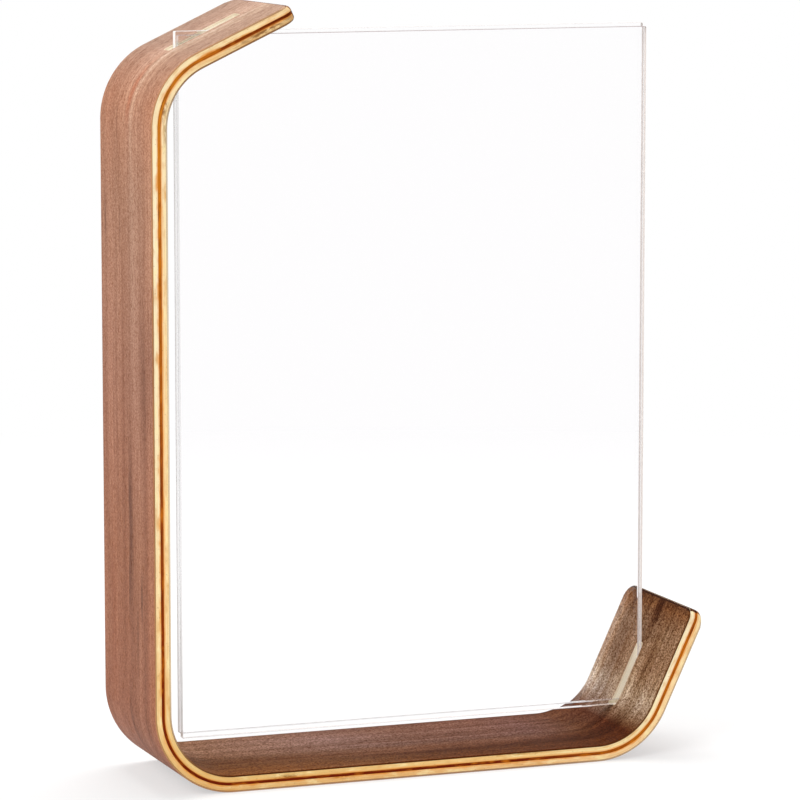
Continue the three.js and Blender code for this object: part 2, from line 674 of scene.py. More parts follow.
@dataclass(frozen=True)
class PlyFinish:
    """Sanded ply seen on its cut edge, with a tone that drifts along the band and painted light on its slot
    walls.
    """

    name: str
    seed: float
    course: Course
    # Painted light on the slot walls.
    slot_wall_painted_light: Rgb
    fleck: Rgb
    glint: Rgb
    speck: Rgb
    end: Rgb
    length: float
    stain: Rgb
    stain_depths: tuple[float, float]
    scuffs: tuple[Streak, ...] = ()
    flecks: Wash = Wash(0.46, 0.76, 0.55)
    dark_patches: Wash = Wash(0.52, 0.74, 0.7)
    pale_patches: Wash = Wash(0.46, 0.28, 0.7)
    specks: Wash = Wash(0.66, 0.80, 0.5)
    stain_share: float = 0.85
    stain_bleed: float = 0.9
    # How far that painted light covers the slot walls.
    slot_light_share: float = 0.9
    roughness: float = 0.5
    fibre_dulling: float = 0.2
    sheen: float = 0.03
    relief: float = 0.03
    relief_share: float = 0.4

    def material(self) -> Material:
        """Build the ply's material.

        Returns:
            The new material.
        """
        m = FinishWiring(self.name)
        lay = m.lay()
        run, _, depth = m.split(lay)
        figure = m.figure(PlyFigure, {"Place": lay, "Seed": self.seed})
        fibre, patch = figure["Fibre"], figure["Patch"]
        clean, stained = self.stain_depths
        bled = m.plus(depth, m.times(m.minus(patch, NOISE_MIDDLE), self.stain_bleed * MM))
        tone = m.ramp(m.span(run, 0.0, self.length * MM), self.course)
        for value, wash, colour in (
            (fibre, self.flecks, self.fleck),
            (patch, self.dark_patches, self.fleck),
            (patch, self.pale_patches, self.glint),
            (bled, Wash(clean * MM, stained * MM, self.stain_share), self.stain),
            (figure["Dots"], self.specks, self.speck),
        ):
            tone = m.blend(m.times(m.span(value, wash.low, wash.high), wash.share), tone, colour)
        scuffed = m.streak(tone, (run, depth), figure["Grime"], self.scuffs)
        # On the slot walls the tone gives way to painted light.
        slot_lit = m.blend(m.times(m.mask(Mark.SLOT), self.slot_light_share), scuffed, self.slot_wall_painted_light)
        m.give("Base Color", m.blend(m.mask(Mark.END), slot_lit, self.end))
        m.give("Roughness", m.between(fibre, self.roughness, self.roughness + self.fibre_dulling))
        m.give("Specular IOR Level", self.sheen)
        m.bump(fibre, self.relief, self.relief_share)
        return m.material


@dataclass(frozen=True)
class ClearFinish:
    """Clear acrylic with polished faces and a trace of haze."""

    name: str
    tint: Rgb
    ior: float = 1.49
    haze: Wash = Wash(0.5, 0.9, 0.02)
    haze_scale: float = 45.0
    haze_octaves: float = 2.0
    haze_rough: float = 0.5
    light_through: float = 0.99

    def material(self) -> Material:
        """Build the clear material, whose shadow lets light through.

        Returns:
            The new material.
        """
        m = FinishWiring(self.name)
        m.give("Base Color", (*self.tint, 1.0))
        m.give("IOR", self.ior)
        m.give("Transmission Weight", 1.0)
        cloud = m.noise(m.place(), self.haze_octaves, self.haze_rough, self.haze_scale)
        m.give("Roughness", m.times(m.span(cloud, self.haze.low, self.haze.high), self.haze.share))
        clear = m.node("ShaderNodeBsdfTransparent")
        clear.inputs["Color"].default_value = (*(self.light_through,) * 3, 1.0)
        path = m.node("ShaderNodeLightPath").outputs
        lit = m.math("MAXIMUM", path["Is Shadow Ray"], path["Is Diffuse Ray"])
        m.show(m.shade(lit, m.shader.outputs["BSDF"], clear.outputs["BSDF"]))
        return m.material


@dataclass(frozen=True)
class EdgeLook:
    """The look of one sheet's sawn edge: its tone, and how much it hides low, midway and high."""

    tone: Rgb
    cover: tuple[float, float, float]


@dataclass(frozen=True)
class SawnEdgeFinish:
    """The sheets' sawn edges on one side: hazy, with a denser line along the back, and toned with painted
    light and shade.
    """

    name: str
    front: EdgeLook
    rear: EdgeLook
    parting: tuple[float, float] = (-0.05, 0.05)
    hem: tuple[float, float] = (60.0, 9.5)
    rise: tuple[float, float] = (171.0, 175.0)
    back: tuple[float, float] = (1.3, 1.7)
    back_cover: float = 0.0
    # Painted shade: these tints darken the back line and the part below the top arm.
    back_line_shade: Rgb = (1.0, 1.0, 1.0)
    low_painted_shade: Rgb = (1.0, 1.0, 1.0)
    glow: float = 0.0
    saw_mark: Rgb = (0.84, 0.83, 0.83)
    saw_share: float = 0.6
    roughness: float = 0.4
    saw_dulling: float = 0.2
    sheen: float = 0.05
    relief: float = 0.02
    relief_share: float = 0.4

    def material(self) -> Material:
        """Build the edge's material.

        Returns:
            The new material.
        """
        m = FinishWiring(self.name)
        place = m.place()
        _, depth, height = m.split(place)
        saw = m.figure(SawFigure, {"Place": place})["Marks"]
        rearward, line = (m.span(depth, a * MM, b * MM) for a, b in (self.parting, self.back))
        sunk, risen = (m.span(height, a * MM, b * MM, soft=True) for a, b in (self.hem, self.rise))
        full = m.blend(rearward, self.front.tone, self.rear.tone)
        # Below the top arm the tone is greyed by painted shade, darker still along the back line.
        low = m.tint(line, m.tint(1.0, full, self.low_painted_shade), self.back_line_shade)
        tone = m.tint(m.times(saw, self.saw_share), m.blend(risen, low, full), self.saw_mark)
        m.give("Base Color", tone)
        m.give("Roughness", m.between(saw, self.roughness, self.roughness + self.saw_dulling))
        m.give("Specular IOR Level", self.sheen)
        m.bump(saw, self.relief, self.relief_share)
        leaving = m.node("ShaderNodeBsdfTranslucent")
        m.join(tone, leaving.inputs["Color"])
        glowing = m.times(m.minus(1.0, risen), self.glow)
        edge = m.shade(glowing, m.shader.outputs["BSDF"], leaving.outputs["BSDF"])
        cover = m.math("MAXIMUM", self._cover(m, rearward, sunk, risen), m.times(line, self.back_cover))
        m.show(m.shade(cover, m.node("ShaderNodeBsdfTransparent").outputs["BSDF"], edge))
        return m.material

    def _cover(self, m: FinishWiring, rearward: Socket, sunk: Socket, risen: Socket) -> Socket:
        """Work out how much the edge hides, apart from the line along the back.

        Args:
            m: The material's wiring.
            rearward: Socket that is one on the rear sheet.
            sunk: Socket that is one low down.
            risen: Socket that is one high up.

        Returns:
            The cover's socket.
        """
        covers = []
        for look in (self.front, self.rear):
            low, midway, high = look.cover
            covers.append(m.plus(m.between(sunk, midway, low), m.times(risen, high - midway)))
        front, rear = covers
        return m.plus(front, m.times(rearward, m.minus(rear, front)))


@dataclass(frozen=True)
class FloorFinish:
    """A pale matt floor that keeps the shadow and shows white to the camera and to clear pieces."""

    name: str = "pale_floor"
    tone: float = 0.9
    roughness: float = 0.9
    sheen: float = 0.1
    white_near: float = 0.55
    white_reach: tuple[float, float] = (0.15, 0.6)

    def material(self) -> Material:
        """Build the floor's material.

        Returns:
            The new material.
        """
        m = FinishWiring(self.name)
        m.give("Base Color", (*(self.tone,) * 3, 1.0))
        m.give("Roughness", self.roughness)
        m.give("Specular IOR Level", self.sheen)
        glow = m.node("ShaderNodeEmission")
        glow.inputs["Strength"].default_value = 1.0
        reach = m.node("ShaderNodeVectorMath", operation="LENGTH")
        m.join(m.place(), reach.inputs[0])
        away = m.span(reach.outputs["Value"], *self.white_reach)
        white = m.times(m.seen(), m.between(away, self.white_near, 1.0))
        m.show(m.shade(white, m.shader.outputs["BSDF"], glow.outputs["Emission"]))
        return m.material


def cut_across(mesh: Mesh, way: Vector, distance: float) -> None:
    """Cut a whole mesh along a plane, keeping both sides.

    Args:
        mesh: The mesh to cut.
        way: The plane's normal.
        distance: How far the plane lies from the origin along its normal.
    """
    parts = mesh.verts[:] + mesh.edges[:] + mesh.faces[:]
    bmesh.ops.bisect_plane(mesh, geom=parts, dist=CUT_REACH, plane_co=way * distance, plane_no=way)


def round_off(mesh: Mesh, lines: list[bmesh.types.BMEdge], radius: float, segments: int) -> None:
    """Round some edges of a mesh.

    Args:
        mesh: The mesh.
        lines: The edges to round.
        radius: The radius, in the mesh's own unit.
        segments: How many steps the rounding has.
    """
    bmesh.ops.bevel(
        mesh,
        geom=lines,
        offset=radius,
        offset_type="OFFSET",
        segments=segments,
        profile=0.5,
        affect="EDGES",
        clamp_overlap=False,
        material=-1,
    )


def finish_piece(name: str, mesh: Mesh) -> bpy.types.Object:
    """Turn a finished bmesh into an object with soft bends and crisp corners.

    Args:
        name: The piece's name.
        mesh: The mesh, in metres and in place.

    Returns:
        The new object.
    """
    data = bpy.data.meshes.new(name)
    mesh.to_mesh(data)
    mesh.free()
    data.shade_smooth()
    data.set_sharp_from_angle(angle=SHARP_ANGLE)
    piece = bpy.data.objects.new(name, data)
    bpy.context.scene.collection.objects.link(piece)
    return piece


@dataclass
class BandCourse:
    """The band's course: short top arm, upright, foot and short right arm, joined by round bends."""

    LAY = "lay"

    thickness: float = 4.3
    inner_radius: float = 16.4
    turn: float = math.radians(65.0)
    arm: float = 27.2
    depth: float = 42.5
    top_bend_height: float = 166.373
    right_bend_reach: float = 119.772
    left: float = field(default_factory=lambda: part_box("outer_walnut_veneer")[0].x)

    @property
    def outer_radius(self) -> float:
        """Radius of the bends on the outer face."""
        return self.inner_radius + self.thickness

    @property
    def mid_radius(self) -> float:
        """Radius of the bends half way through the band."""
        return self.inner_radius + self.thickness / 2

    def runs(self) -> list[tuple[float, float]]:
        """List the course from the top tip on.

        Returns:
            Length half way through the band and turn, for each straight or bend.
        """
        upright = self.top_bend_height - self.outer_radius
        foot = self.right_bend_reach - self.outer_radius
        quarter = math.pi / 2
        return [
            (self.arm, 0.0),
            (self.mid_radius * self.turn, self.turn),
            (upright, 0.0),
            (self.mid_radius * quarter, quarter),
            (foot, 0.0),
            (self.mid_radius * self.turn, self.turn),
            (self.arm, 0.0),
        ]

    @property
    def length(self) -> float:
        """Length of the flat blank, half way through the band."""
        return sum(run for run, _ in self.runs())

    def bend_lines(self, step: float) -> list[float]:
        """Find where the flat blank is creased finely enough to bend.

        Args:
            step: The most that one crease turns, in radians.

        Returns:
            Places along the blank.
        """
        lines: list[float] = []
        start = 0.0
        for run, turn in self.runs():
            if turn:
                count = math.ceil(turn / step)
                lines += [start + run * i / count for i in range(count + 1)]
            start += run
        return lines

    @staticmethod
    def _outward(heading: float) -> Vector:
        """Give the way that faces out of the band at a heading."""
        return Vector((math.sin(heading), -math.cos(heading)))

    def place(self, run: float, across: float, deep: float) -> Vector:
        """Bend one point of the blank into its place.

        Args:
            run: Place along the blank, from the top tip.
            across: Place across the band's depth.
            deep: Distance below the outer face.

        Returns:
            The point in metres.
        """
        straight_down = 1.5 * math.pi
        heading = straight_down - self.turn
        forward = Vector((math.cos(heading), math.sin(heading)))
        spot = Vector((self.outer_radius, self.top_bend_height))
        spot += self._outward(heading) * self.outer_radius - forward * self.arm
        left = run
        for span, turn in self.runs():
            share = min(left, span)
            left -= share
            if turn:
                spot -= self._outward(heading) * self.outer_radius
                heading += share / self.mid_radius
                spot += self._outward(heading) * self.outer_radius
            else:
                spot += Vector((math.cos(heading), math.sin(heading))) * share
        spot -= self._outward(heading) * deep
        return Vector((self.left + spot.x * MM, across * MM, spot.y * MM))


@dataclass(frozen=True)
class Layer:
    """One layer of the band."""

    node: str
    slot: str
    top: float
    thickness: float
    side: Side


@dataclass
class BentBand:
    """The five layers of the band, cut as flat blanks and bent together."""

    # How near counts as touching, and the parts of a normal that tell faces apart.
    TOUCH = 1e-3
    LEVEL = 0.9
    PLUMB = 0.1
    EASED_PLUMB = 0.6
    END_ON = 0.8
    # How far a slot's wall reaches past the slot where its rim is eased.
    WALL_REACH = 0.2

    course: BandCourse
    veneer: float = 0.4
    core: float = 1.3
    centre: float = 0.7
    glue: float = 0.05
    tip_radius: float = 3.4
    tip_steps: int = 10
    slot_width: float = 5.1
    slot_radius: float = 0.6
    slot_steps: int = 4
    top_slot: tuple[float, float] = (-1.02, 19.34)
    right_slot: tuple[float, float] = (-4.80, 13.90)
    ease: float = 0.16
    ease_steps: int = 2
    outer_nose: float = 1.7
    inner_nose: float = 1.0
    nose_steps: int = 6
    tip_inset: float = 0.035
    crease: float = math.radians(2.5)
    pieces: dict[str, bpy.types.Object] = field(default_factory=dict)

    def layers(self) -> list[Layer]:
        """List the layers from the outer face inwards.

        Returns:
            The layers with their places through the band.
        """
        stack = [
            ("outer_walnut_veneer", "outer_walnut", self.veneer, Side.OUTER),
            ("outer_pale_core_ply", "pale_core", self.core, Side.SEALED),
            ("dark_centre_ply", "dark_centre", self.centre, Side.SEALED),
            ("inner_pale_core_ply", "pale_core", self.core, Side.SEALED),
            ("inner_walnut_veneer", "inner_walnut", self.veneer, Side.INNER),
        ]
        listed: list[Layer] = []
        top = 0.0
        for node, slot, thickness, side in stack:
            listed.append(Layer(node, slot, top, thickness, side))
            top += thickness + self.glue
        return listed

    def slots(self) -> list[tuple[float, float]]:
        """List the slots.

        Returns:
            Each slot's two ends along the blank.
        """
        near, far = self.top_slot
        start = self.course.length - self.course.arm
        low, high = self.right_slot
        return [(self.course.arm - far, self.course.arm - near), (start + low, start + high)]

    def build(self) -> None:
        """Make every layer's mesh and object."""
        for layer in self.layers():
            blank = self._flat_blank(layer)
            self._round_corners(blank, layer)
            self._crease(blank)
            self._ease_rim(blank, layer)
            self._step_noses(blank, layer)
            self._mark_faces(blank)
            self._round_noses(blank)
            self._bend(blank)
            self.pieces[layer.node] = finish_piece(layer.node + "_bent", blank)
            LOG.info("layer %s bent", layer.node)

    def _flat_blank(self, layer: Layer) -> Mesh:
        """Cut one layer as a flat blank with its two slots.

        Args:
            layer: The layer to cut.

        Returns:
            The blank, along X and across Y, with its outer face up.
        """
        blank = bmesh.new()
        bmesh.ops.create_grid(blank, x_segments=1, y_segments=1, size=0.5)
        bmesh.ops.scale(blank, vec=(self.course.length, self.course.depth, 1.0), verts=blank.verts)
        bmesh.ops.translate(blank, vec=(self.course.length / 2, 0.0, -layer.top), verts=blank.verts)
        half = self.slot_width / 2
        for edge in (-half, half):
            cut_across(blank, ACROSS, edge)
        for ends in self.slots():
            for end in ends:
                cut_across(blank, ALONG, end)

        def in_slot(spot: Vector) -> bool:
            """Tell whether a spot lies in a slot."""
            return abs(spot.y) < half and any(low < spot.x < high for low, high in self.slots())

        waste = [face for face in blank.faces if in_slot(face.calc_center_median())]
        bmesh.ops.delete(blank, geom=waste, context="FACES")
        grown = bmesh.ops.extrude_face_region(blank, geom=blank.faces[:])
        fresh = [part for part in grown["geom"] if isinstance(part, bmesh.types.BMVert)]
        bmesh.ops.translate(blank, vec=(0.0, 0.0, -layer.thickness), verts=fresh)
        bmesh.ops.recalc_face_normals(blank, faces=blank.faces[:])
        return blank

    def _round_corners(self, blank: Mesh, layer: Layer) -> None:
        """Round the tips' corners and the slots' corners.

        Args:
            blank: The flat blank.
            layer: The layer it is cut for.
        """
        tips = (0.0, self.course.length)
        slot_ends = [end for pair in self.slots() for end in pair]
        for places, edge, radius, steps in (
            (tips, self.course.depth / 2, self.tip_radius, self.tip_steps),
            (slot_ends, self.slot_width / 2, self.slot_radius, self.slot_steps),
        ):
            corners = [
                line
                for line in blank.edges
                if abs(line.verts[0].co.z - line.verts[1].co.z) > layer.thickness / 2
                and abs(abs(line.verts[0].co.y) - edge) < CUT_REACH
                and any(abs(line.verts[0].co.x - place) < self.TOUCH for place in places)
            ]
            round_off(blank, corners, radius, steps)

    def _crease(self, blank: Mesh) -> None:
        """Cut the blank across wherever it bends."""
        for line in self.course.bend_lines(self.crease):
            cut_across(blank, ALONG, line)

    def _ease_rim(self, blank: Mesh, layer: Layer) -> None:
        """Take the sharp corner off the rim of a face that lies open to view.

        Args:
            blank: The flat blank.
            layer: The layer it is cut for.
        """
        if layer.side is Side.SEALED:
            return
        blank.normal_update()
        up = 1.0 if layer.side is Side.OUTER else -1.0
        rim = [
            line
            for line in blank.edges
            if len(line.link_faces) == 2
            and max(up * face.normal.z for face in line.link_faces) > self.LEVEL
            and min(abs(face.normal.z) for face in line.link_faces) < self.PLUMB
        ]
        round_off(blank, rim, self.ease, self.ease_steps)

    def _step_noses(self, blank: Mesh, layer: Layer) -> None:
        """Cut a ply along its edges finely enough to round its tips.

        Args:
            blank: The flat blank.
            layer: The layer it is cut for.
        """
        if layer.side is not Side.SEALED:
            return
        for step in range(1, self.nose_steps + 1):
            fall = 1.0 - math.cos(step / self.nose_steps * math.pi / 2)
            for depth in (self.outer_nose * fall, self.course.thickness - self.inner_nose * fall):
                if layer.top + self.glue < depth < layer.top + layer.thickness - self.glue:
                    cut_across(blank, UP, -depth)

    def _mark_faces(self, blank: Mesh) -> None:
        """Mark the cut edges, the end grain and the slots' walls on the flat blank.

        Args:
            blank: The flat blank.
        """
        blank.normal_update()
        marks = (Mark.EDGE, Mark.END, Mark.SLOT)
        edge, end, slot = (blank.faces.layers.float.new(mark.value) for mark in marks)
        wall = self.slot_width / 2 + self.WALL_REACH
        for face in blank.faces:
            middle = face.calc_center_median()
            upright = abs(face.normal.z) < self.EASED_PLUMB
            at_tip = min(middle.x, self.course.length - middle.x) < self.tip_radius
            face[slot] = float(upright and not at_tip and abs(middle.y) < wall)
            face[end] = float(upright and at_tip and abs(face.normal.x) > self.END_ON)
            face[edge] = float(upright)

    def _round_noses(self, blank: Mesh) -> None:
        """Round the tips from the outer face to the inner face.

        Args:
            blank: The flat blank.
        """
        def drawn_in(deep: float, radius: float) -> float:
            """How far a rounded corner draws in at a depth below its face."""
            return radius - math.sqrt(radius**2 - max(radius - deep, 0.0) ** 2)

        for vert in blank.verts:
            far = self.course.length - vert.co.x
            way, gap = (1.0, vert.co.x) if vert.co.x < far else (-1.0, far)
            if gap < self.tip_radius + self.TOUCH:
                deep = min(max(-vert.co.z, 0.0), self.course.thickness)
                outer = drawn_in(deep, self.outer_nose)
                inner = drawn_in(self.course.thickness - deep, self.inner_nose)
                vert.co.x += way * (max(outer, inner) + self.tip_inset)

    def _bend(self, blank: Mesh) -> None:
        """Bend the blank along the course, and keep the lay of its grain.

        Args:
            blank: The flat blank.
        """
        lay = blank.verts.layers.float_vector.new(BandCourse.LAY)
        for vert in blank.verts:
            run, across, deep = vert.co.x, vert.co.y, -vert.co.z
            vert[lay] = Vector((run, across, deep)) * MM
            vert.co = self.course.place(run, across, deep)
        bmesh.ops.recalc_face_normals(blank, faces=blank.faces[:])

    def dress(self, finishes: dict[str, Material]) -> None:
        """Give each layer its finish and tie it to the frame.

        Args:
            finishes: Materials by node name.
        """
        for layer in self.layers():
            piece = self.pieces[layer.node]
            piece.data.materials.append(finishes[layer.node])
            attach(piece, "band")
            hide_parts(layer.node)
            LOG.info("layer %s dressed", layer.node)


@dataclass
class ClearSheets:
    """Two clear sheets that hang in the band's slots, one behind the other."""

    LEVEL = 0.9

    edge_ease: float = 0.22
    ease_steps: int = 2
    pieces: list[tuple[str, str, bpy.types.Object]] = field(default_factory=list)

    def build(self) -> None:
        """Make both sheets' meshes and objects."""
        for node, body in (("front_clear_sheet", "front_sheet"), ("rear_clear_sheet", "rear_sheet")):
            low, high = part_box(node)
            slab = self._slab(low, high)
            self.pieces.append((node, body, finish_piece(node + "_polished", slab)))
            LOG.info("%s cut", node)

    def _slab(self, low: Vector, high: Vector) -> Mesh:
        """Cut one sheet with eased edges.

        Args:
            low: The sheet's lowest corner.
            high: The sheet's highest corner.

        Returns:
            The sheet's mesh in place.
        """
        slab = bmesh.new()
        bmesh.ops.create_cube(slab, size=1.0)
        bmesh.ops.scale(slab, vec=high - low, verts=slab.verts)
        bmesh.ops.translate(slab, vec=(high + low) / 2, verts=slab.verts)
        round_off(slab, slab.edges[:], self.edge_ease * MM, self.ease_steps)
        slab.normal_update()
        return slab

    def dress(self, finishes: dict[Facing, Material]) -> None:
        """Give the sheets their clear faces and sawn edges, and tie them to the frame.

        Args:
            finishes: Materials by the way a face looks.
        """
        order = list(finishes)
        for node, body, piece in self.pieces:
            for facing in order:
                piece.data.materials.append(finishes[facing])
            for face in piece.data.polygons:
                face.material_index = order.index(self._facing(face.normal))
            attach(piece, body)
            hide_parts(node)
            LOG.info("%s dressed", node)

    @classmethod
    def _facing(cls, normal: Vector) -> Facing:
        """Tell which way a face of a sheet looks.

        Args:
            normal: The face's normal.

        Returns:
            The way it looks.
        """
        if abs(normal.y) > cls.LEVEL:
            return Facing.THROUGH
        if abs(normal.z) > abs(normal.x):
            return Facing.UP if normal.z > 0.0 else Facing.DOWN
        return Facing.UPRIGHT_SIDE if normal.x < 0.0 else Facing.OPEN_SIDE


@dataclass(frozen=True)
class Softbox:
    """One square lamp: where it hangs and its side in metres, and its power in watts."""

    name: str
    place: tuple[float, float, float]
    size: float
    power: float


@dataclass
class Studio:
    """A pale floor, soft lamps and the camera, in metres."""

    eye: Vector = field(default_factory=lambda: Vector((-0.388876, -1.021749, 0.243488)))
    gaze: Vector = field(default_factory=lambda: Vector((0.3510415, 0.9264785, -0.1356744)))
    lens: float = 193.66
    sensor: float = 36.0
    clip: tuple[float, float] = (0.01, 50.0)
    floor_size: float = 6.0
    fill: float = 0.55
    lamp_aim: Vector = field(default_factory=lambda: Vector((0.0, 0.0, 0.09)))
    lamps: tuple[Softbox, ...] = (
        Softbox("key_softbox", (-1.05, -0.75, 0.95), 0.8, 10.5),
        Softbox("top_softbox", (0.15, 0.45, 1.2), 0.9, 12.0),
    )

    def build(self) -> None:
        """Set up the floor, the world, the lamps and the camera."""
        self._floor()
        self._world()
        for softbox in self.lamps:
            self._lamp(softbox)
        self._camera()

    def _floor(self) -> None:
        """Lay the floor."""
        mesh = bmesh.new()
        bmesh.ops.create_grid(mesh, x_segments=1, y_segments=1, size=self.floor_size)
        floor = finish_piece("studio_floor", mesh)
        floor.data.materials.append(FloorFinish().material())

    def _world(self) -> None:
        """Fill the room with plain white light, and show it white."""
        world = bpy.data.worlds.new("studio_world")
        bpy.context.scene.world = world
        world.use_nodes = True
        w = Wiring(world.node_tree)
        room = world.node_tree.nodes["Background"]
        room.inputs["Color"].default_value = (1.0, 1.0, 1.0, 1.0)
        w.join(w.between(w.seen(), self.fill, 1.0), room.inputs["Strength"])

    @staticmethod
    def _set_up(name: str, data: bpy.types.ID, place: Vector, gaze: Vector) -> bpy.types.Object:
        """Stand a lamp or a camera in the room.

        Args:
            name: Its name.
            data: The lamp's or camera's own data.
            place: Where it stands.
            gaze: The way it looks.

        Returns:
            The new object.
        """
        stood = bpy.data.objects.new(name, data)
        stood.location = place
        stood.rotation_euler = gaze.to_track_quat("-Z", "Y").to_euler()
        bpy.context.scene.collection.objects.link(stood)
        return stood

    def _lamp(self, softbox: Softbox) -> None:
        """Hang one softbox that faces the frame.

        Args:
            softbox: The lamp.
        """
        data = bpy.data.lights.new(softbox.name, "AREA")
        data.shape = "SQUARE"
        data.size = softbox.size
        data.energy = softbox.power
        place = Vector(softbox.place)
        self._set_up(softbox.name, data, place, self.lamp_aim - place)

    def _camera(self) -> None:
        """Stand the camera to the left of the front, a little above the frame."""
        data = bpy.data.cameras.new("camera")
        data.lens = self.lens
        data.sensor_width = self.sensor
        data.clip_start, data.clip_end = self.clip
        bpy.context.scene.camera = self._set_up("camera", data, self.eye, self.gaze)


def course_of(*stops: tuple[float, int, int, int]) -> Course:
    """Write a course of tones from places and screen colours.

    Args:
        *stops: Place from 0 to 1, then red, green and blue from 0 to 255.

    Returns:
        The course in linear colours.
    """
    return tuple((place, linear(red, green, blue)) for place, red, green, blue in stops)


